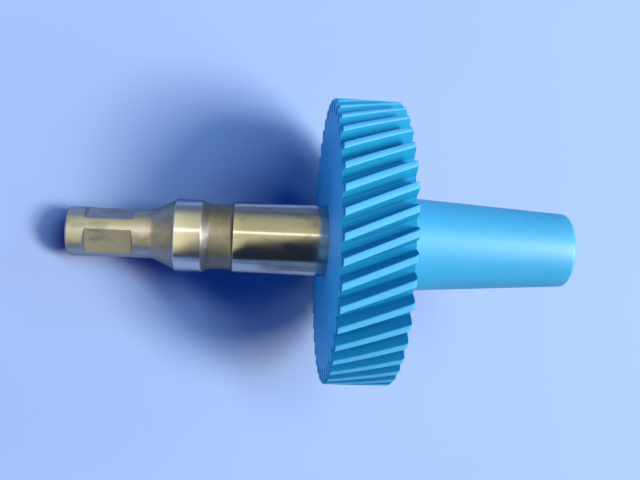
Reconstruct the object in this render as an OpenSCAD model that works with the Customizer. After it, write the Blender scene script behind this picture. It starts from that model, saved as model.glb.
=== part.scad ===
// Helical gear on a stainless shaft, with a tapered plastic sleeve behind the gear.
// The shaft runs along X. X = 0 is the plane of the gear's left face, where the
// bearing journal ends, and +X points towards the sleeve. All sizes in millimetres.

/* [Gear] */
// Normal module, which sets the size of the teeth
normal_module = 2.5; // [2:0.5:3]
// Number of teeth
teeth = 42; // [36:1:48]
// Helix angle in degrees, left-hand
helix_angle = 22.5; // [10:0.5:30]
// Normal pressure angle in degrees
pressure_angle = 15; // [14.5:0.5:20]
// Angle of the nearest tooth from +Z at the left face, turning about X
first_tooth_angle = -1.3; // [-4.2:0.1:4.2]
// Width of the toothed rim along the shaft
face_w = 27.2; // [24:0.1:34]
// Chamfer where the tooth tips meet the end faces
tip_chamfer = 0.8; // [0.4:0.1:1.2]

/* [Shaft] */
// Diameter of the bearing journal and of the collar
journal_d = 30; // [28:0.5:32]
// Length of the journal, from the gear to the groove
journal_l = 38.4; // [30:0.1:50]
// Length of the relief groove
groove_l = 12.8; // [10:0.1:16]
// Depth of the relief groove, on the radius
groove_depth = 1.6; // [1:0.1:2]
// Length of the collar
collar_l = 10.6; // [8:0.1:14]
// Length of the tapered shoulder
shoulder_l = 9.4; // [6:0.1:12]
// Length of the nose, from the shoulder to its end
nose_l = 33.6; // [31:0.1:44]
// Diameter of the nose
nose_d = 20; // [19:0.5:22]
// Width across the wrench flats
across_flats = 17; // [16:0.5:18]
// Angle of the first flat below +Z, turning about X
flat_angle = 25; // [0:0.5:45]

/* [Sleeve] */
// Length of the sleeve
sleeve_l = 76.1; // [70:0.1:90]
// Diameter of the sleeve against the gear
sleeve_big_d = 40.3; // [40:0.1:44]
// Diameter of the sleeve at its free end
sleeve_end_d = 31.2; // [30:0.1:36]
// Rounding of the sleeve's free end
sleeve_edge_r = 3; // [1:0.1:3.5]

/* [Inside] */
// Diameter of the shaft in the gear
seat_d = 22; // [20:1:22]
// Diameter of the shaft in the sleeve
tail_d = 16; // [14:0.5:17]
// Thread of the end screw
screw_d = 8; // [6:1:8]

/* [Hidden] */
$fn = 96;
eps = 0.02;

steel = "#9d9a86";
blue_nylon = "#1f8fd0";

// Gear geometry, in the plane across the shaft
pitch_r = normal_module * teeth / cos(helix_angle) / 2;
tip_r = pitch_r + normal_module;
root_r = pitch_r - 1.25 * normal_module;
root_fillet = 0.3 * normal_module;
transverse_angle = atan(tan(pressure_angle) / cos(helix_angle));
base_r = pitch_r * cos(transverse_angle);
gear_twist = face_w * tan(helix_angle) / pitch_r * 180 / PI;
flank_steps = 3;
helix_slices = 5;

// Stations along X
collar_x = -journal_l - groove_l;
shoulder_x = collar_x - collar_l;
nose_x = shoulder_x - shoulder_l;
nose_end_x = nose_x - nose_l;
sleeve_end_x = face_w + sleeve_l;

// Small shapes on the shaft
nose_chamfer = 0.7;
shoulder_edge = 0.8;
groove_slope = 0.22 * groove_l;
seat_end_x = face_w + 1.8;

// Wrench flats
flats_from = nose_end_x + 7.6;
flats_to = nose_x - 7.8;
flat_run_in = 0.8;
flat_run_out = 0.6;

// Key, in the standard size for the seat
key_w = 6;
key_h = 6;
key_l = 20;
key_x = 2.5;
shaft_key_depth = 3.5;
hub_key_depth = 2.8;

// Retaining ring, in the standard size for the seat
ring_t = 1.2;
ring_groove_depth = 0.5;
ring_body = 2.6;
ring_lug = 4.2;
ring_pocket_r = seat_d / 2 - ring_groove_depth + ring_lug + 0.3;
ring_pocket_depth = 1.8;
ring_x = face_w - ring_pocket_depth;
ring_groove_end = ring_x + ring_t + 0.1;

// Drive dowels between the gear and the sleeve
dowel_d = 3;
dowel_l = 12;
dowel_ring_r = 17;
dowel_x = face_w - dowel_l / 2;

// Free end of the sleeve
recess_d = 24;
recess_depth = 13.3;
recess_x = sleeve_end_x - recess_depth;
tail_gap = 0.5;
tail_end_x = recess_x - tail_gap;
washer_t = 2.5;
lock_t = 2;
head_af = 1.625 * screw_d;
head_h = 0.66 * screw_d;
screw_l = 25;
thread_pitch = 1.25;
tapped_depth = 26;
plug_t = 3;
plug_edge = 0.4;

function polar(r, a) = [r * cos(a), r * sin(a)];
function involute(a) = tan(a) - a * PI / 180;

// Half of a tooth's angle at radius r, in degrees
function half_tooth(r) =
    let (a = acos(min(1, base_r / r)))
    90 / teeth + (involute(transverse_angle) - involute(a)) * 180 / PI;

// Points of an arc from angle a to angle b
function arc(centre, r, a, b, steps) =
    [for (i = [0 : steps]) centre + polar(r, a + (b - a) * i / steps)];

// Turns its children so that their Z axis lies along X, and moves them to x
module along_x(x = 0) {
    translate([x, 0, 0]) rotate([0, 90, 0]) children();
}

// A ring round X from x = a to x = b
module x_ring(a, b, outer_d, inner_d = 0) {
    along_x(a) difference() {
        cylinder(h = b - a, d = outer_d);
        if (inner_d > 0) translate([0, 0, -1]) cylinder(h = b - a + 2, d = inner_d);
    }
}

// A solid of revolution round X from points [x, radius]
module turned(points) {
    rotate([0, 90, 0]) rotate_extrude() polygon([for (p = points) [p[1], p[0]]]);
}

// Key shape with round ends, standing on the XY plane
module key_shape(w, h, l) {
    translate([w / 2, 0, 0]) cylinder(h = h, d = w);
    translate([l - w / 2, 0, 0]) cylinder(h = h, d = w);
    translate([w / 2, -w / 2, 0]) cube([l - w, w, h]);
}

// Outline of the gear across the shaft
module gear_outline() {
    fillet_r = root_r + root_fillet;
    radii = [for (i = [0 : flank_steps]) fillet_r + (tip_r - fillet_r) * i / flank_steps];
    right = [for (r = radii) [r, -half_tooth(r)]];
    left = [for (i = [flank_steps : -1 : 0]) [radii[i], half_tooth(radii[i])]];
    root_half = half_tooth(fillet_r) + root_fillet / root_r * 180 / PI;
    one_tooth = concat([[root_r, -root_half]], right, left, [[root_r, root_half]]);
    polygon([for (t = [0 : teeth - 1]) for (p = one_tooth) polar(p[0], t * 360 / teeth + p[1])]);
}

// Blank of the gear, turned before the teeth are cut, with chamfered corners
module gear_blank() {
    over_r = tip_r + 1;
    turned([[0, 0], [0, tip_r - tip_chamfer], [tip_chamfer + 1, over_r],
            [face_w - tip_chamfer - 1, over_r], [face_w, tip_r - tip_chamfer], [face_w, 0]]);
}

module shaft() {
    journal_r = journal_d / 2;
    nose_r = nose_d / 2;
    seat_r = seat_d / 2;
    tail_r = tail_d / 2;
    floor_r = journal_r - groove_depth;
    groove_x = -journal_l;
    color(steel) difference() {
        turned(concat(
            [[nose_end_x, 0], [nose_end_x, nose_r - nose_chamfer]],
            [[nose_end_x + nose_chamfer, nose_r], [nose_x, nose_r]],
            [[shoulder_x - shoulder_edge, journal_r - shoulder_edge], [shoulder_x, journal_r]],
            [[collar_x, journal_r], [collar_x + groove_slope, floor_r]],
            [[groove_x - groove_depth, floor_r]],
            arc([groove_x - groove_depth, journal_r], groove_depth, -90, 0, 6),
            [[0, journal_r], [0, seat_r]],
            [[ring_x, seat_r], [ring_x, seat_r - ring_groove_depth]],
            [[ring_groove_end, seat_r - ring_groove_depth], [ring_groove_end, seat_r]],
            [[seat_end_x, seat_r], [seat_end_x, tail_r]],
            [[tail_end_x - 1, tail_r], [tail_end_x, tail_r - 1], [tail_end_x, 0]]));
        for (i = [0 : 3]) rotate([flat_angle + 90 * i, 0, 0]) wrench_flat();
        translate([key_x, 0, seat_r - shaft_key_depth]) key_shape(key_w, key_h, key_l);
        along_x(tail_end_x - tapped_depth) cylinder(h = tapped_depth + 1, d = screw_d);
        centre_hole();
    }
}

// Metal removed for one wrench flat, with a long slope towards the end of the nose
module wrench_flat() {
    depth = (nose_d - across_flats) / 2;
    over = (depth + 1) / depth;
    translate([0, nose_d / 2, across_flats / 2]) rotate([90, 0, 0]) linear_extrude(nose_d)
        polygon([[flats_from, 0], [flats_to, 0], [flats_to + flat_run_out * over, depth + 1],
                 [flats_from - flat_run_in * over, depth + 1]]);
}

// Centre hole in the end of the nose, left from turning
module centre_hole() {
    mouth_r = 3.2;
    pilot_r = 1;
    cone_l = (mouth_r - pilot_r) / tan(30);
    turned([[nose_end_x - 1, 0], [nose_end_x - 1, mouth_r + tan(30)],
            [nose_end_x + cone_l, pilot_r], [nose_end_x + 2 * cone_l, pilot_r],
            [nose_end_x + 2 * cone_l + pilot_r, 0]]);
}

module helical_gear() {
    color(blue_nylon) difference() {
        intersection() {
            along_x() linear_extrude(height = face_w, twist = gear_twist, slices = helix_slices)
                rotate(first_tooth_angle) gear_outline();
            gear_blank();
        }
        along_x(-1) cylinder(h = face_w + 2, d = seat_d);
        along_x(ring_x) cylinder(h = ring_pocket_depth + 1, r = ring_pocket_r);
        translate([-1, -key_w / 2, 0])
            cube([face_w + 2, key_w, seat_d / 2 + hub_key_depth]);
        dowel_set();
    }
}

module gear_key() {
    color(steel) translate([key_x, 0, seat_d / 2 - shaft_key_depth])
        key_shape(key_w, key_h, key_l);
}

module retaining_ring() {
    inner_r = seat_d / 2 - ring_groove_depth;
    lug_turn = 15;
    color("#4a4a48") difference() {
        union() {
            x_ring(ring_x, ring_x + ring_t, 2 * (inner_r + ring_body));
            for (side = [-1, 1]) rotate([180 + side * lug_turn, 0, 0])
                translate([ring_x, -2, 0]) cube([ring_t, 4, inner_r + ring_lug]);
        }
        along_x(ring_x - 1) cylinder(h = ring_t + 2, r = inner_r);
        translate([ring_x - 1, -1.5, -inner_r - ring_lug - 1])
            cube([ring_t + 2, 3, inner_r + ring_lug + 1]);
        for (side = [-1, 1]) rotate([180 + side * lug_turn, 0, 0])
            translate([ring_x - 1, 0, inner_r + ring_lug - 2]) rotate([0, 90, 0])
                cylinder(h = ring_t + 2, d = 1.5);
    }
}

// The two dowel cylinders, which are also the holes they sit in
module dowel_set() {
    for (side = [-1, 1]) translate([0, side * dowel_ring_r, 0])
        along_x(dowel_x) cylinder(h = dowel_l, d = dowel_d);
}

module drive_dowels() {
    color(steel) dowel_set();
}

module tapered_sleeve() {
    big_r = sleeve_big_d / 2;
    end_r = sleeve_end_d / 2;
    taper = atan((big_r - end_r) / sleeve_l);
    arc_x = sleeve_end_x - sleeve_edge_r;
    arc_r = end_r - sleeve_edge_r + sleeve_edge_r * tan(taper / 2);
    color(blue_nylon) difference() {
        turned(concat(
            [[face_w, 0], [face_w, big_r]],
            arc([arc_x, arc_r], sleeve_edge_r, 90 - taper, 0, 8),
            [[sleeve_end_x, 0]]));
        along_x(face_w - 1) cylinder(h = sleeve_l + 2, d = tail_d);
        along_x(face_w - 1) cylinder(h = seat_end_x - face_w + 1.5, d = seat_d + 0.4);
        along_x(recess_x) cylinder(h = recess_depth + 1, d = recess_d);
        dowel_set();
    }
}

module end_washer() {
    color(steel) x_ring(recess_x, recess_x + washer_t, recess_d - 1, screw_d + 0.4);
}

module lock_washer() {
    color("#4a4a48") difference() {
        x_ring(recess_x + washer_t, recess_x + washer_t + lock_t, 1.85 * screw_d, screw_d + 0.2);
        translate([recess_x, -0.6, 0]) cube([washer_t + lock_t + 1, 1.2, screw_d]);
    }
}

module end_screw() {
    head_x = recess_x + washer_t + lock_t;
    crest_r = screw_d / 2 - eps;
    root_screw_r = crest_r - 0.6 * thread_pitch;
    start_x = head_x - screw_l;
    turns = floor((tapped_depth - 8) / thread_pitch);
    thread = [for (i = [0 : turns - 1])
              for (p = [[0, root_screw_r], [0.5 * thread_pitch, crest_r]])
              [start_x + i * thread_pitch + p[0], p[1]]];
    shank_x = start_x + turns * thread_pitch;
    color(steel) {
        turned(concat([[start_x, 0]], thread,
                      [[shank_x, crest_r], [head_x + 1, crest_r], [head_x + 1, 0]]));
        along_x(head_x) cylinder(h = head_h, d = head_af / cos(30), $fn = 6);
    }
}

module end_plug() {
    r = recess_d / 2;
    from = sleeve_end_x - plug_t;
    color(blue_nylon)
        turned([[from, 0], [from, r - plug_edge], [from + plug_edge, r],
                [sleeve_end_x - plug_edge, r], [sleeve_end_x, r - plug_edge], [sleeve_end_x, 0]]);
}

shaft();
helical_gear();
gear_key();
retaining_ring();
drive_dowels();
tapered_sleeve();
end_washer();
lock_washer();
end_screw();
end_plug();
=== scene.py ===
"""Visual model of a helical gear on a stainless shaft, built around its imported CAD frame.

X runs along the shaft, X = 0 is the gear's left face, and all lengths are metres.
"""

import math

import bpy
from mathutils import Matrix, Vector


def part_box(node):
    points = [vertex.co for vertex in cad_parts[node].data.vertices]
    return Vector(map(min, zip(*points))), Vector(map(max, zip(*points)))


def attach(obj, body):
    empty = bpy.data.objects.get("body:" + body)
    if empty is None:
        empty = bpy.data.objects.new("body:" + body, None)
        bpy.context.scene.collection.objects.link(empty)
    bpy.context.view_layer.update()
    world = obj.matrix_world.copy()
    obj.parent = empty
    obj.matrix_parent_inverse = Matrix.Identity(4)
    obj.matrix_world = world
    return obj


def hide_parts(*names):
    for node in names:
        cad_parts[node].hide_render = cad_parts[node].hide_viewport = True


MM = 0.001

# The gear's teeth
TEETH = 42
HELIX = math.radians(22.5)
PRESSURE = math.radians(15)
FIRST_TOOTH = math.radians(-1.3)
TIP_CHAMFER = 0.8 * MM
LAND_ROUND = 0.22 * MM
FACE_ROUND = 0.14 * MM

# The shaft
JOURNAL_L = 38.4 * MM
GROOVE_L = 12.8 * MM
GROOVE_DEPTH = 1.6 * MM
COLLAR_L = 10.6 * MM
SHOULDER_L = 9.4 * MM
NOSE_R = 10 * MM
NOSE_CHAMFER = 0.7 * MM
FLAT_HALF = 8.5 * MM
FLAT_ANGLE = math.radians(25)
FLATS_IN = 7.6 * MM
FLATS_OUT = 7.8 * MM
FLAT_SLOPE_IN = 0.8 * MM
FLAT_SLOPE_OUT = 0.6 * MM
EDGE_BLUR = 0.03 * MM
STEPS_ON_FLAT = 44
STEPS_BETWEEN_FLATS = 46
SHOULDER_EDGE = 0.8 * MM
GROOVE_SLOPE = 0.22 * GROOVE_L
CENTRE_R = 3.2 * MM
PILOT_R = 1 * MM
CENTRE_ANGLE = math.radians(30)
SEAT_R = 11 * MM
SEAT_PAST_GEAR = 1.8 * MM
RING_GROOVE_DEPTH = 0.5 * MM
RING_POCKET_R = 15 * MM
RING_POCKET_DEPTH = 1.8 * MM
TAIL_R = 8 * MM
TAIL_CHAMFER = 1 * MM
SCREW_R = 4 * MM
TAPPED_DEPTH = 26 * MM

# The sleeve
SLEEVE_BIG_R = 20.15 * MM
SLEEVE_END_R = 15.6 * MM
SLEEVE_EDGE = 3 * MM
RECESS_R = 12 * MM
RECESS_DEPTH = 13.3 * MM
SEAT_POCKET_DEPTH = 3.3 * MM
SEAT_CLEARANCE = 0.2 * MM

# The plug: its flat rim, and the dish inside it
PLUG_RIM = 1.6 * MM
PLUG_DISH_EDGE = 3 * MM
PLUG_DISH_DEPTH = 0.5 * MM

# The photograph's camera, as a turn of the view and a place in the camera's own axes
VIEW_TILT = math.radians(-5.35)
VIEW_ROLL = math.radians(2.32)
VIEW_PLACE = Vector((-2.2, 0.4, 315.9)) * MM
LENS_MM = 42.2
SENSOR_MM = 36

# Steel. The collar is paler than the journal to copy the photo's light, as one turned shaft
# would not be.
STEEL_CLEAN = (0.46, 0.46, 0.45)
STEEL_STAIN = (0.2, 0.17, 0.12)
STEEL_SMEAR = (0.2, 0.19, 0.17)
STEEL_COLLAR = (0.6, 0.6, 0.64)
STEEL_MARKS = (0.5, 0.5, 0.48)
STEEL_TINT = (0.55, 0.6, 0.75)

# Nylon. The left face is out of the light, and is paler than one moulding would be, so that it
# reads as bright as it should from the camera. It is not the nylon's true colour.
# The tip lands' blue is paler and the cut blue darker than the nylon is: painted light on the tip
# lands, and painted shade in the cut tooth spaces and on the gear's right face.
LAND_BLUE_PAINTED_LIGHT = (0.098, 0.48, 0.65)
CUT_BLUE_PAINTED_SHADE = (0.014, 0.285, 0.46)
FACE_BLUE = (0.09, 0.57, 0.84)
SLEEVE_BLUE = (0.044, 0.37, 0.54)

# Table. Reflections see it darker further out along Y: on the +Y side everywhere, and on the -Y
# side only to the right, fading in from the first to the second X of DIM_BELOW_X.
TABLE_SIZE = 3.0
DIM_ABOVE = (85 * MM, 125 * MM)
DIM_BELOW = (-100 * MM, -140 * MM)
DIM_BELOW_X = (-35 * MM, 0.0)
TABLE_DIM = 0.7
TABLE_LIGHT = (0.284, 0.388, 0.55)
TABLE_DARK = (0.268, 0.368, 0.53)
TABLE_DIMMED = (0.04, 0.06, 0.1)

# Lights: name, direction, long axis, long and short side, power in watts, colour
LIGHT_DISTANCE = 3
LIGHTS = [
    ("window", (0.773, -0.070, 0.630), (-0.331, 0.779, 0.532), 1.3, 0.72, 114, (1.0, 0.91, 0.86)),
    ("lamp", (0.413, 0.258, 0.873), (-0.667, 0.739, 0.097), 1.8, 0.45, 46, (0.6, 0.76, 1.0)),
    ("low_right", (0.920, -0.300, 0.230), (0.330, 0.940, -0.080), 1.2, 0.6, 18,
     (0.75, 0.95, 0.95)),
    ("upper_right", (0.861, 0.468, 0.199), (-0.430, 0.879, -0.206), 1.35, 0.45, 26,
     (0.3, 0.65, 1.0)),
]

# Room: what reflections see at each angle in degrees in the YZ plane, from +Z towards -Y. It is
# tuned to the photo's one camera and is no model of a real room.
ROOM = [
    (-180, (0.30, 0.43, 0.74)), (-94, (0.17, 0.23, 0.36)), (-80, (0.44, 0.50, 0.47)),
    (-64, (0.95, 0.94, 0.66)), (-45, (1.20, 1.14, 0.69)), (-28, (1.32, 1.24, 0.76)),
    (-21, (1.5, 1.35, 0.9)), (-18, (4.2, 3.9, 2.8)), (-15, (4.2, 3.9, 2.8)), (-12, (1.6, 1.45, 0.9)),
    (56, (1.4, 1.25, 0.72)), (67, (0.30, 0.50, 0.95)), (180, (0.35, 0.50, 0.85)),
]

# The dark shape in the room, in the same degrees: where it starts and ends, how soft both edges
# are, and how far its start moves with the X of the direction, within DARK_SLANT_X
DARK_TOP = 12
DARK_TOP_EDGE = (-14, 16)
DARK_BOTTOM = 74
DARK_BOTTOM_EDGE = 6
DARK_SLANT = 240
DARK_SLANT_X = (-0.2, 0.1)
DARK_COLOUR = (0.04, 0.06, 0.10, 1.0)

# The room's brightness by the X of the direction: from X, to X, brightness at each. The first dims
# it far to the left. The second dims what the journal mirrors to two thirds, what the collar
# mirrors less, and what the nose mirrors hardly at all.
DIM_LEFT = (-0.85, -0.3, 0.45, 1.0)
DIM_RIGHT = (-0.18, -0.02, 1.0, 0.66)

# What the camera sees behind the table, and the blue light that falls on everything
BACKDROP = (0.50, 0.60, 0.78, 1.0)
AMBIENT = (0.01, 0.08, 1.0, 1.0)
AMBIENT_STRENGTH = 0.30


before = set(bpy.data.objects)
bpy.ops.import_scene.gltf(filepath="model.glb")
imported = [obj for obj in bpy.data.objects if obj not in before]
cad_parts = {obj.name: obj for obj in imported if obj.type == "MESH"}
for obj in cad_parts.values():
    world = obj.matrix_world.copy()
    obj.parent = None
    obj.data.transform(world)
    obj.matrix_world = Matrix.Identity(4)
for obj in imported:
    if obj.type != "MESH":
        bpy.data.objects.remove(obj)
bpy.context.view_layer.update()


# ---------------------------------------------------------------- mesh helpers

def around(x, r, angle):
    """A point at radius r, turned by angle from +Z towards -Y."""
    return (x, -r * math.sin(angle), r * math.cos(angle))


def mesh_object(name, verts, faces, sharp_angle=35):
    """A smooth-shaded mesh object whose edges over sharp_angle degrees stay sharp."""
    mesh = bpy.data.meshes.new(name)
    mesh.from_pydata(verts, [], faces)
    mesh.validate()
    mesh.polygons.foreach_set("use_smooth", [True] * len(mesh.polygons))
    mesh.set_sharp_from_angle(angle=math.radians(sharp_angle))
    mesh.update()
    obj = bpy.data.objects.new(name, mesh)
    bpy.context.scene.collection.objects.link(obj)
    return obj


def rings_to_mesh(name, rings, closed, sharp_angle=35):
    """Joins rings of points into a skin. A ring of one point is an end on the axis."""
    verts = []
    starts = []
    for ring in rings:
        starts.append(len(verts))
        verts.extend(ring)
    faces = []
    count = max(len(ring) for ring in rings)
    pairs = list(zip(range(len(rings) - 1), range(1, len(rings))))
    if closed:
        pairs.append((len(rings) - 1, 0))
    for a, b in pairs:
        for i in range(count):
            j = (i + 1) % count
            if len(rings[a]) == 1:
                faces.append((starts[a], starts[b] + j, starts[b] + i))
            elif len(rings[b]) == 1:
                faces.append((starts[a] + i, starts[a] + j, starts[b]))
            else:
                faces.append((starts[a] + i, starts[a] + j, starts[b] + j, starts[b] + i))
    return mesh_object(name, verts, faces, sharp_angle)


def rounded(points, closed=False, steps=5):
    """Replaces each corner (x, r, rounding) of an outline with an arc of that radius."""
    out = []
    last = len(points) - 1
    for i, (x, r, radius) in enumerate(points):
        corner = Vector((x, r))
        if radius <= 0 or (not closed and i in (0, last)):
            out.append(corner)
            continue
        before = Vector(points[i - 1][:2]) - corner
        after = Vector(points[(i + 1) % len(points)][:2]) - corner
        half = before.angle(after) / 2
        reach = min(radius / math.tan(half), 0.49 * before.length, 0.49 * after.length)
        start = corner + before.normalized() * reach
        end = corner + after.normalized() * reach
        for k in range(steps + 1):
            t = k / steps
            a = start.lerp(corner, t)
            b = corner.lerp(end, t)
            out.append(a.lerp(b, t))
    return out


def subdivided(points, longest):
    """Adds points so that no stretch of an outline is longer than longest."""
    out = [points[0]]
    for a, b in zip(points, points[1:]):
        count = max(1, math.ceil((b - a).length / longest))
        out.extend(a.lerp(b, (k + 1) / count) for k in range(count))
    return out


def even_angles(count):
    return [2 * math.pi * i / count for i in range(count)]


def turned(name, points, angles, closed=False, limit=None, sharp_angle=35):
    """A turned part from outline points (x, r). limit(x, angle) may cut the radius down."""
    rings = []
    for x, r in points:
        if r < 1e-7:
            rings.append([(x, 0.0, 0.0)])
            continue
        ring = []
        for angle in angles:
            radius = r if limit is None else soft_min(r, limit(x, angle), EDGE_BLUR)
            ring.append(around(x, radius, angle))
        rings.append(ring)
    return rings_to_mesh(name, rings, closed, sharp_angle)


def soft_min(a, b, width):
    """The smaller of a and b, with the corner between them rounded over width."""
    h = max(width - abs(a - b), 0) / width
    return min(a, b) - h * h * width / 4


# ---------------------------------------------------------------- the gear

gear_low, gear_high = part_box("helical_gear")
FACE_W = gear_high.x
TIP_R = max(gear_high.y, -gear_low.y, gear_high.z, -gear_low.z) - 0.01 * MM
MODULE = TIP_R / (TEETH / (2 * math.cos(HELIX)) + 1)
PITCH_R = TIP_R - MODULE
ROOT_R = PITCH_R - 1.25 * MODULE
ROOT_FILLET = 0.3 * MODULE
TRANSVERSE = math.atan(math.tan(PRESSURE) / math.cos(HELIX))
BASE_R = PITCH_R * math.cos(TRANSVERSE)
TWIST = math.tan(HELIX) / PITCH_R
PITCH_ANGLE = 2 * math.pi / TEETH


def involute(angle):
    return math.tan(angle) - angle


def half_tooth(r):
    """Half of a tooth's angle at radius r."""
    pressure = math.acos(min(1.0, BASE_R / r))
    return PITCH_ANGLE / 4 + involute(TRANSVERSE) - involute(pressure)


def tooth_outline(tip, inset):
    """Points (radius, angle) of one tooth from gap to gap, shrunk by inset."""
    root = ROOT_R - inset
    foot = root + ROOT_FILLET
    foot_angle = half_tooth(foot) - inset / foot
    half = [(root, PITCH_ANGLE / 2), (root, (PITCH_ANGLE / 2 + foot_angle) / 2)]
    for k in range(4):
        t = k / 4 * math.pi / 2
        half.append((root + ROOT_FILLET * (1 - math.cos(t)),
                     foot_angle + ROOT_FILLET / root * (1 - math.sin(t)) * 0.9))
    flank_top = tip - LAND_ROUND
    for k in range(8):
        r = foot + (flank_top - foot) * k / 7
        half.append((r, half_tooth(r) - inset / r))
    land = half_tooth(tip) - inset / tip
    half.append((tip - 0.3 * LAND_ROUND, land - 0.3 * LAND_ROUND / tip))
    half.append((tip, land - LAND_ROUND / tip))
    left = [(r, -a) for r, a in half[1:]]
    right = [(r, a) for r, a in reversed(half[1:])]
    return [(half[0][0], -half[0][1])] + left + [(tip, 0.0)] + right


def gear_ring(x, outline):
    """A ring of points: the outline on every tooth, at the helix's angle for x."""
    turn = FIRST_TOOTH - TWIST * x
    return [around(x, r, turn + t * PITCH_ANGLE + a) for t in range(TEETH) for r, a in outline]


def circle_ring(x, r, outline):
    """A plain circle with the same number of points as a gear ring."""
    turn = FIRST_TOOTH - TWIST * x
    return [around(x, r, turn + t * PITCH_ANGLE + a) for t in range(TEETH) for _, a in outline]


def make_gear():
    """The toothed wheel, with rounded tips, chamfered ends, a bore and the ring's pocket."""
    end_steps = [0, 0.3, 1]
    near = [FACE_ROUND * s for s in end_steps]
    near += [TIP_CHAMFER * 0.5, TIP_CHAMFER * 0.8, TIP_CHAMFER, TIP_CHAMFER * 1.25]
    middle_count = 22
    inner = TIP_CHAMFER * 1.25
    middle = [inner + (FACE_W - 2 * inner) * k / middle_count for k in range(1, middle_count)]
    stations = near + middle + [FACE_W - x for x in reversed(near)]
    plain = tooth_outline(TIP_R, 0)
    rings = []
    pocket_x = FACE_W - RING_POCKET_DEPTH
    bore = [(FACE_W, RING_POCKET_R), (pocket_x, RING_POCKET_R), (pocket_x, SEAT_R),
            (0.66 * FACE_W, SEAT_R),
            (0.33 * FACE_W, SEAT_R), (0.3 * MM, SEAT_R), (0, SEAT_R + 0.3 * MM)]
    web = [SEAT_R + 4 * MM, 0.5 * ROOT_R, 0.8 * ROOT_R, ROOT_R - 1.2 * MM]
    rings += [circle_ring(0, r, plain) for r in web]
    for x in stations:
        depth = min(x, FACE_W - x)
        tip = min(TIP_R, TIP_R - TIP_CHAMFER + depth)
        edge = max(0.0, 1 - depth / FACE_ROUND)
        inset = FACE_ROUND * edge * edge
        rings.append(gear_ring(x, tooth_outline(tip - inset, inset)))
    rings += [circle_ring(FACE_W, r, plain) for r in reversed(web)]
    rings += [circle_ring(x, r, plain) for x, r in bore]
    return rings_to_mesh("gear_wheel", rings, closed=True, sharp_angle=28)


# ---------------------------------------------------------------- the shaft and sleeve

collar_x = -JOURNAL_L - GROOVE_L
shoulder_x = collar_x - COLLAR_L
nose_x = shoulder_x - SHOULDER_L
nose_end_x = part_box("shaft")[0].x
tail_end_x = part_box("shaft")[1].x
journal_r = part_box("shaft")[1].z
sleeve_end_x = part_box("tapered_sleeve")[1].x


def flats(x, angle):
    """Distance from the axis to the nearest wrench flat's surface, along angle."""
    start = nose_end_x + FLATS_IN
    end = nose_x - FLATS_OUT
    cut = NOSE_R - FLAT_HALF
    distance = FLAT_HALF
    if x < start:
        distance += (start - x) * cut / FLAT_SLOPE_IN
    if x > end:
        distance += (x - end) * cut / FLAT_SLOPE_OUT
    quarter = math.pi / 2
    off = (angle - FLAT_ANGLE + quarter / 2) % quarter - quarter / 2
    return distance / math.cos(off)


def flat_angles():
    """Angles round the nose, with steps that end exactly at the edges of the flats."""
    half = math.acos(FLAT_HALF / NOSE_R)
    angles = []
    for quarter in range(4):
        middle = FLAT_ANGLE + quarter * math.pi / 2
        angles += [middle + half * (2 * k / STEPS_ON_FLAT - 1) for k in range(STEPS_ON_FLAT)]
        angles += [middle + half + (math.pi / 2 - 2 * half) * k / STEPS_BETWEEN_FLATS
                   for k in range(STEPS_BETWEEN_FLATS)]
    return angles


def make_shaft():
    """The steel shaft, turned from one outline, with four wrench flats on its nose."""
    floor_r = journal_r - GROOVE_DEPTH
    cone = (CENTRE_R - PILOT_R) / math.tan(CENTRE_ANGLE)
    tapped_x = tail_end_x - TAPPED_DEPTH
    seat_end_x = FACE_W + SEAT_PAST_GEAR
    ring_low, ring_high = (corner.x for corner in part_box("retaining_ring"))
    corners = [
        (nose_end_x + 2 * cone + PILOT_R, 0, 0),
        (nose_end_x + 2 * cone, PILOT_R, 0),
        (nose_end_x + cone, PILOT_R, 0),
        (nose_end_x, CENTRE_R, 0.1 * MM),
        (nose_end_x, NOSE_R - NOSE_CHAMFER, 0.15 * MM),
        (nose_end_x + NOSE_CHAMFER, NOSE_R, 0.3 * MM),
        (nose_x, NOSE_R, 5 * MM),
        (shoulder_x - SHOULDER_EDGE, journal_r - SHOULDER_EDGE, SHOULDER_EDGE),
        (shoulder_x, journal_r, SHOULDER_EDGE),
        (collar_x, journal_r, 0.5 * MM),
        (collar_x + GROOVE_SLOPE, floor_r, 2.5 * MM),
        (-JOURNAL_L - 0.5 * GROOVE_DEPTH, floor_r, 1.5 * MM),
        (-JOURNAL_L, journal_r, 0.25 * MM),
        (0, journal_r, 0),
        (0, SEAT_R, 0),
        (ring_low, SEAT_R, 0),
        (ring_low, SEAT_R - RING_GROOVE_DEPTH, 0),
        (ring_high, SEAT_R - RING_GROOVE_DEPTH, 0),
        (ring_high, SEAT_R, 0),
        (seat_end_x, SEAT_R, 0),
        (seat_end_x, TAIL_R, 0),
        (tail_end_x - TAIL_CHAMFER, TAIL_R, 0),
        (tail_end_x, TAIL_R - TAIL_CHAMFER, 0),
        (tail_end_x, SCREW_R, 0),
        (tapped_x, SCREW_R, 0),
        (tapped_x, 0, 0),
    ]
    outline = rounded(corners)
    edges = [nose_end_x + FLATS_IN - FLAT_SLOPE_IN, nose_end_x + FLATS_IN, nose_x - FLATS_OUT,
             nose_x - FLATS_OUT + FLAT_SLOPE_OUT]
    with_edges = [outline[0]]
    for a, b in zip(outline, outline[1:]):
        if min(a.y, b.y) > 0.95 * NOSE_R and b.x > a.x:
            inside = [x for x in edges if a.x + 1e-6 < x < b.x - 1e-6]
            with_edges += [a.lerp(b, (x - a.x) / (b.x - a.x)) for x in inside]
        with_edges.append(b)
    outline = with_edges
    fine = []
    for a, b in zip(outline, outline[1:]):
        on_nose = max(a.x, b.x) < nose_x - 2 * MM and min(a.y, b.y) > 0.95 * NOSE_R
        step = 0.22 * MM if on_nose else 6 * MM
        fine += subdivided([a, b], step)[:-1]
    fine.append(outline[-1])

    def limit(x, angle):
        return flats(x, angle) if x < nose_x else 1.0

    return turned("steel_shaft", fine, flat_angles(), limit=limit, sharp_angle=20)


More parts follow.
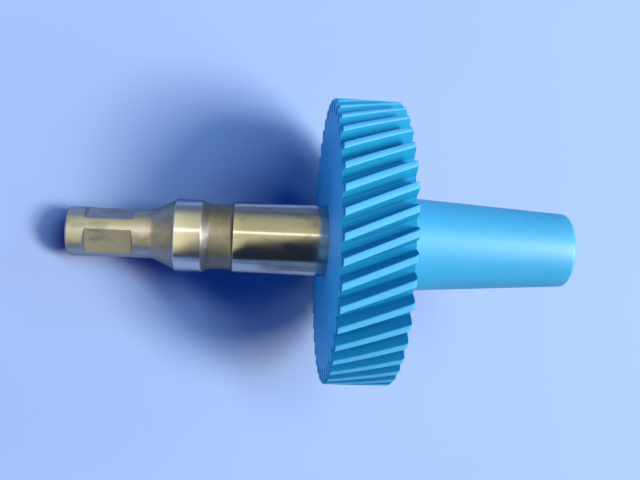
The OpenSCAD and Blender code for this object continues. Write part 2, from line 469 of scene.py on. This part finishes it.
def make_sleeve():
    """The tapered sleeve with its bore and the recess for the end screw."""
    recess_x = sleeve_end_x - RECESS_DEPTH
    outline = [
        (FACE_W, SLEEVE_BIG_R, 0.3 * MM),
        (sleeve_end_x, SLEEVE_END_R, SLEEVE_EDGE),
        (sleeve_end_x, RECESS_R, 0.3 * MM),
        (recess_x, RECESS_R, 0),
        (recess_x, TAIL_R, 0),
        (FACE_W + SEAT_POCKET_DEPTH, TAIL_R, 0),
        (FACE_W + SEAT_POCKET_DEPTH, SEAT_R + SEAT_CLEARANCE, 0),
        (FACE_W, SEAT_R + SEAT_CLEARANCE, 0.2 * MM),
    ]
    points = rounded(outline, closed=True, steps=8)
    return turned("blue_sleeve", subdivided(points, 6 * MM), even_angles(256), closed=True)


def make_plug():
    """The plug in the sleeve's free end, slightly dished."""
    low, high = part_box("end_plug")
    r = high.z
    outline = [
        (low.x, 0, 0),
        (low.x, r, 0.3 * MM),
        (high.x, r, 0.4 * MM),
        (high.x, r - PLUG_RIM, 0.6 * MM),
        (high.x - PLUG_DISH_DEPTH, r - PLUG_DISH_EDGE, 0.6 * MM),
        (high.x - PLUG_DISH_DEPTH, 0, 0),
    ]
    return turned("sleeve_plug", rounded(outline), even_angles(128))


# ---------------------------------------------------------------- materials

class Shader:
    """A small wrapper that adds and links shader nodes."""

    def __init__(self, name):
        self.material = bpy.data.materials.new(name)
        self.material.use_nodes = True
        self.tree = self.material.node_tree
        self.bsdf = self.tree.nodes["Principled BSDF"]

    def node(self, kind, inputs=None, **settings):
        n = self.tree.nodes.new(kind)
        for key, value in settings.items():
            setattr(n, key, value)
        for key, value in (inputs or {}).items():
            if isinstance(value, bpy.types.NodeSocket):
                self.tree.links.new(value, n.inputs[key])
            else:
                n.inputs[key].default_value = value
        return n

    def math(self, operation, a, b=0.0):
        return self.node("ShaderNodeMath", {0: a, 1: b}, operation=operation).outputs[0]

    def position(self):
        return self.node("ShaderNodeTexCoord").outputs["Object"]

    def stretched(self, scale):
        """Object coordinates multiplied by a scale on each axis."""
        mapping = self.node("ShaderNodeMapping", {"Vector": self.position(), "Scale": scale})
        return mapping.outputs[0]

    def noise(self, scale, detail=3.0, rough=0.55, distort=0.0):
        """Noise with features of 1 / scale metres on each axis, from 0 to 1."""
        inputs = {"Vector": self.stretched(scale), "Scale": 1.0, "Detail": detail,
                  "Roughness": rough, "Distortion": distort}
        return self.node("ShaderNodeTexNoise", inputs).outputs[0]

    def radius(self):
        """Distance from the X axis."""
        split = self.node("ShaderNodeSeparateXYZ", {0: self.position()})
        y2 = self.math("MULTIPLY", split.outputs[1], split.outputs[1])
        z2 = self.math("MULTIPLY", split.outputs[2], split.outputs[2])
        return self.math("SQRT", self.math("ADD", y2, z2))

    def ramp(self, value, low, high):
        """Maps 0..1 to low..high."""
        inputs = {0: value, 3: low, 4: high}
        return self.node("ShaderNodeMapRange", inputs).outputs[0]

    def between(self, value, start, end):
        """Goes smoothly from 0 to 1 while the value goes from start to end."""
        inputs = {0: value, 1: start, 2: end}
        return self.node("ShaderNodeMapRange", inputs, interpolation_type="SMOOTHSTEP").outputs[0]

    def along_x(self, stops):
        """A value that depends on X, from (x, value) stops with straight lines between."""
        x = self.node("ShaderNodeSeparateXYZ", {0: self.position()}).outputs[0]
        first, last = stops[0][0], stops[-1][0]
        place = self.node("ShaderNodeMapRange", {0: x, 1: first, 2: last}).outputs[0]
        ramp = self.node("ShaderNodeValToRGB", {0: place})
        elements = ramp.color_ramp.elements
        while len(elements) < len(stops):
            elements.new(0.5)
        for element, (at, value) in zip(elements, stops):
            element.position = (at - first) / (last - first)
            element.color = (value, value, value, 1)
        return ramp.outputs[0]

    def mix(self, factor, a, b):
        """Mixes two colours or colour sockets."""
        n = self.node("ShaderNodeMix", {0: factor}, data_type="RGBA")
        for index, value in ((6, a), (7, b)):
            if isinstance(value, bpy.types.NodeSocket):
                self.tree.links.new(value, n.inputs[index])
            else:
                n.inputs[index].default_value = (*value, 1.0)
        return n.outputs[2]

    def bump(self, height, strength, distance, below=None):
        inputs = {"Height": height, "Strength": strength, "Distance": distance}
        if below is not None:
            inputs["Normal"] = below
        return self.node("ShaderNodeBump", inputs).outputs[0]

    def set(self, **sockets):
        names = {"base": "Base Color", "rough": "Roughness", "normal": "Normal", "metal": "Metallic",
                 "tint": "Specular Tint", "scatter": "Subsurface Weight",
                 "scatter_scale": "Subsurface Scale", "specular": "Specular IOR Level"}
        for key, value in sockets.items():
            socket = self.bsdf.inputs[names[key]]
            if isinstance(value, bpy.types.NodeSocket):
                self.tree.links.new(value, socket)
            elif isinstance(value, tuple):
                socket.default_value = (*value, 1.0)
            else:
                socket.default_value = value
        return self.material


def turned_steel():
    """Stainless steel: satin nose and shoulder, polished collar and journal, stained groove."""
    s = Shader("turned_steel")
    marks = s.noise((5200, 26, 26), detail=4)
    broad_marks = s.noise((700, 12, 12), detail=2)
    stains = s.noise((90, 90, 90), detail=5, rough=0.65)
    smears = s.noise((80, 150, 150), detail=4, rough=0.55, distort=0.3)
    step = 0.15 * MM
    satin = s.along_x([
        (nose_end_x, 0.36), (nose_x, 0.36), (shoulder_x - step, 0.3), (shoulder_x + step, 0.15),
        (collar_x - step, 0.15), (collar_x + step, 0.46), (-JOURNAL_L - step, 0.46),
        (-JOURNAL_L + step, 0.09), (0, 0.09)])
    brown = s.along_x([
        (nose_end_x, 0.2), (nose_x - 20 * step, 0.25), (nose_x + 10 * step, 0.65),
        (shoulder_x - 4 * step, 0.8), (shoulder_x + step, 0),
        (collar_x - step, 0), (collar_x + step, 0.8), (collar_x + 20 * step, 1),
        (-JOURNAL_L - step, 1), (-JOURNAL_L + step, 0), (0, 0)])
    stained = s.math("MULTIPLY", brown, s.ramp(stains, 0.2, 1.6))
    base = s.mix(stained, STEEL_CLEAN, STEEL_STAIN)
    smeared = s.math("MULTIPLY", s.between(smears, 0.48, 0.74), 0.7)
    base = s.mix(smeared, base, STEEL_SMEAR)
    on_collar = s.along_x([
        (nose_end_x, 0), (shoulder_x - step, 0), (shoulder_x + step, 0.7),
        (collar_x - step, 0.7), (collar_x + step, 0), (0, 0)])
    base = s.mix(on_collar, base, STEEL_COLLAR)
    base = s.mix(s.ramp(broad_marks, 0.0, 0.2), base, STEEL_MARKS)
    rough = s.math("ADD", satin, s.ramp(marks, -0.02, 0.03))
    rough = s.math("ADD", rough, s.math("MULTIPLY", s.between(smears, 0.4, 0.8), 0.12))
    return s.set(base=base, rough=rough, metal=1.0, tint=STEEL_TINT,
                 normal=s.bump(marks, 0.25, 0.004 * MM))


def blue_nylon(name, marks_scale, marks_depth, colour, cut_painted_shade=None, face_colour=None):
    """Blue cast nylon, satin, with machining marks and a slight mottle.

    With a cut colour, the material is the gear's: its tip lands have the paler colour, which is
    painted light, its cut tooth spaces and right face the darker cut colour, which is painted shade,
    and its left face the face colour, paler as painted light.
    """
    s = Shader(name)
    mottle = s.noise((160, 160, 160), detail=4)
    grain = s.noise((2600, 2600, 2600), detail=3)
    marks = s.noise(marks_scale, detail=3)
    base = s.mix(s.ramp(mottle, 0.0, 0.5), colour, tuple(1.25 * c for c in colour))
    if cut_painted_shade:
        # Painted light and shade: the tip lands keep the paler blue, the cut tooth spaces and the
        # right face get the darker cut blue, and the left face the paler face blue.
        land = s.between(s.radius(), TIP_R - 0.5 * MM, TIP_R - 0.1 * MM)
        face = s.along_x([(0, 1), (0.1 * MM, 1), (0.3 * MM, 0), (FACE_W, 0)])
        cut = s.mix(face, cut_painted_shade, face_colour)
        base = s.mix(land, cut, base)
        shine = s.math("ADD", s.math("MULTIPLY", land, 0.18), 0.04)
    uneven = s.math("ADD", s.math("MULTIPLY", mottle, 0.5), s.math("MULTIPLY", grain, 0.5))
    normal = s.bump(marks, 0.5, marks_depth)
    normal = s.bump(grain, 0.25, 0.01 * MM, normal)
    return s.set(base=base, rough=s.ramp(uneven, 0.38, 0.56), normal=normal, scatter=0.12,
                 scatter_scale=0.0015, specular=shine if cut_painted_shade else 0.75)


def plain_steel(name, colour, rough_low, rough_high):
    """Small steel parts, with grain and uneven brightness."""
    s = Shader(name)
    grain = s.noise((3000, 900, 900), detail=3)
    patches = s.noise((300, 300, 300), detail=4)
    darker = tuple(0.72 * c for c in colour)
    base = s.mix(s.ramp(patches, 0.0, 1.0), colour, darker)
    return s.set(base=base, rough=s.ramp(grain, rough_low, rough_high), metal=1.0,
                 normal=s.bump(grain, 0.3, 0.01 * MM))


def table_top():
    """Plain pale blue table, seen from above only, so it hides nothing from below."""
    s = Shader("table_top")
    cloud = s.noise((6, 6, 6), detail=2)
    base = s.mix(s.ramp(cloud, 0.0, 1.0), TABLE_DARK, TABLE_LIGHT)
    place = s.node("ShaderNodeNewGeometry").outputs["Position"]
    place = s.node("ShaderNodeSeparateXYZ", {0: place}).outputs
    above = s.between(place[1], *DIM_ABOVE)
    below = s.math("MULTIPLY", s.between(place[1], *DIM_BELOW), s.between(place[0], *DIM_BELOW_X))
    glossy = s.node("ShaderNodeLightPath").outputs["Is Glossy Ray"]
    dim = s.math("MULTIPLY", glossy, s.math("ADD", above, below))
    base = s.mix(s.math("MULTIPLY", dim, TABLE_DIM), base, TABLE_DIMMED)
    s.set(base=base, rough=0.9, specular=0.1)
    facing = s.node("ShaderNodeNewGeometry").outputs["Backfacing"]
    clear = s.node("ShaderNodeBsdfTransparent").outputs[0]
    both = s.node("ShaderNodeMixShader", {0: facing, 1: s.bsdf.outputs[0], 2: clear})
    s.tree.links.new(both.outputs[0], s.tree.nodes["Material Output"].inputs[0])
    return s.material


# ---------------------------------------------------------------- the pieces

def paint(obj, material):
    obj.data.materials.clear()
    obj.data.materials.append(material)


def add_piece(obj, node, material):
    """Puts a piece in place of a CAD node."""
    paint(obj, material)
    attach(obj, "root")
    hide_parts(node)


gear_nylon = blue_nylon("gear_nylon", (900, 60, 60), 0.03 * MM, LAND_BLUE_PAINTED_LIGHT, CUT_BLUE_PAINTED_SHADE, FACE_BLUE)
sleeve_nylon = blue_nylon("sleeve_nylon", (1800, 30, 30), 0.02 * MM, SLEEVE_BLUE)
add_piece(make_gear(), "helical_gear", gear_nylon)
add_piece(make_shaft(), "shaft", turned_steel())
add_piece(make_sleeve(), "tapered_sleeve", sleeve_nylon)
add_piece(make_plug(), "end_plug", sleeve_nylon)

bright = plain_steel("bright_steel", (0.62, 0.62, 0.63), 0.2, 0.4)
dark = plain_steel("spring_steel", (0.10, 0.10, 0.11), 0.35, 0.6)
for node in ("gear_key", "drive_dowels", "end_washer", "end_screw"):
    paint(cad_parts[node], bright)
for node in ("retaining_ring", "lock_washer"):
    paint(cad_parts[node], dark)


# ---------------------------------------------------------------- table, light and camera

def make_table():
    """The table top, on which the gear's rim and the nose's end rest."""
    rim = Vector((0, 0, -TIP_R))
    nose = Vector((nose_end_x, 0, -NOSE_R))
    slope = math.atan2(nose.z - rim.z, rim.x - nose.x)
    bpy.ops.mesh.primitive_plane_add(size=TABLE_SIZE)
    table = bpy.context.object
    table.name = "table"
    table.matrix_world = Matrix.Translation(rim) @ Matrix.Rotation(slope, 4, "Y")
    paint(table, table_top())


def area_light(name, towards, long_axis, long_side, short_side, power, colour):
    """A soft rectangular light that looks at the gear from a direction."""
    data = bpy.data.lights.new(name, "AREA")
    data.energy = power
    data.color = colour
    data.shape = "RECTANGLE"
    data.size = long_side
    data.size_y = short_side
    light = bpy.data.objects.new(name, data)
    bpy.context.scene.collection.objects.link(light)
    z = Vector(towards).normalized()
    x = Vector(long_axis)
    x = (x - z * x.dot(z)).normalized()
    axes = Matrix((x, z.cross(x), z)).transposed().to_4x4()
    light.matrix_world = Matrix.Translation(z * LIGHT_DISTANCE) @ axes


def make_lights():
    """A window, a thin lamp above the gear, and two faint low lights from the right."""
    for settings in LIGHTS:
        area_light(*settings)


def make_world():
    """Blue ambient light, a pale plain backdrop, and a room that only reflections see.

    Reflections see warm walls above with one bright strip, a dark shape in front, low down, and
    the table's blue further down. Angles are in the YZ plane, from +Z towards -Y.
    """
    world = bpy.data.worlds.new("studio")
    bpy.context.scene.world = world
    world.use_nodes = True
    tree = world.node_tree
    tree.nodes.clear()
    link = tree.links.new

    def node(kind, inputs=(), **settings):
        n = tree.nodes.new(kind)
        for key, value in settings.items():
            setattr(n, key, value)
        for index, value in enumerate(inputs):
            if isinstance(value, bpy.types.NodeSocket):
                link(value, n.inputs[index])
            elif value is not None:
                n.inputs[index].default_value = value
        return n

    def smooth(value, start, end, low, high):
        inputs = (value, start, end, low, high)
        return node("ShaderNodeMapRange", inputs, interpolation_type="SMOOTHSTEP").outputs[0]

    coord = node("ShaderNodeTexCoord").outputs["Generated"]
    split = node("ShaderNodeSeparateXYZ", (coord,)).outputs
    minus_y = node("ShaderNodeMath", (split[1], -1.0), operation="MULTIPLY").outputs[0]
    turn = node("ShaderNodeMath", (minus_y, split[2]), operation="ARCTAN2").outputs[0]
    degrees = node("ShaderNodeMath", (turn, 180 / math.pi), operation="MULTIPLY").outputs[0]
    place = node("ShaderNodeMapRange", (degrees, -180.0, 180.0)).outputs[0]
    ramp = node("ShaderNodeValToRGB", (place,))
    elements = ramp.color_ramp.elements
    while len(elements) < len(ROOM):
        elements.new(0.5)
    for element, (at, colour) in zip(elements, ROOM):
        element.position = (at + 180) / 360
        element.color = (*colour, 1)
    sideways = node("ShaderNodeClamp", (split[0], *DARK_SLANT_X)).outputs[0]
    slanted = node("ShaderNodeMath", (sideways, DARK_SLANT), operation="MULTIPLY").outputs[0]
    below = node("ShaderNodeMath", (degrees, slanted), operation="ADD").outputs[0]
    top_start, top_end = (DARK_TOP + edge for edge in DARK_TOP_EDGE)
    dark_from = smooth(below, top_start, top_end, 0.0, 1.0)
    bottom_start = DARK_BOTTOM - DARK_BOTTOM_EDGE
    bottom_end = DARK_BOTTOM + DARK_BOTTOM_EDGE
    dark_to = smooth(degrees, bottom_start, bottom_end, 1.0, 0.0)
    dark = node("ShaderNodeMath", (dark_from, dark_to), operation="MULTIPLY").outputs[0]
    seen = node("ShaderNodeMix", data_type="RGBA")
    link(dark, seen.inputs[0])
    link(ramp.outputs[0], seen.inputs[6])
    seen.inputs[7].default_value = DARK_COLOUR
    dim_left = smooth(split[0], *DIM_LEFT)
    dim_right = smooth(split[0], *DIM_RIGHT)
    dim = node("ShaderNodeMath", (dim_left, dim_right), operation="MULTIPLY").outputs[0]
    room = node("ShaderNodeBackground", (seen.outputs[2], dim)).outputs[0]
    sky = node("ShaderNodeBackground", (AMBIENT, AMBIENT_STRENGTH)).outputs[0]
    path = node("ShaderNodeLightPath").outputs
    direct = node("ShaderNodeMath", (path["Diffuse Depth"], 0.5), operation="LESS_THAN").outputs[0]
    glossy = node("ShaderNodeMath", (path["Is Glossy Ray"], direct), operation="MULTIPLY").outputs[0]
    both = node("ShaderNodeMixShader", (glossy, sky, room)).outputs[0]
    backdrop = node("ShaderNodeBackground", (BACKDROP, 1.0)).outputs[0]
    world_seen = node("ShaderNodeMixShader", (path["Is Camera Ray"], both, backdrop)).outputs[0]
    node("ShaderNodeOutputWorld", (world_seen,))


def make_camera():
    """A camera at the photograph's angle, with a moderate lens."""
    data = bpy.data.cameras.new("camera")
    data.lens = LENS_MM
    data.sensor_width = SENSOR_MM
    data.clip_start = 0.01
    camera = bpy.data.objects.new("camera", data)
    bpy.context.scene.collection.objects.link(camera)
    turn = Matrix.Rotation(VIEW_TILT, 4, "Y") @ Matrix.Rotation(VIEW_ROLL, 4, "Z")
    camera.matrix_world = turn @ Matrix.Translation(VIEW_PLACE)
    bpy.context.scene.camera = camera


make_table()
make_lights()
make_world()
make_camera()
bpy.context.scene.view_settings.view_transform = "Standard"
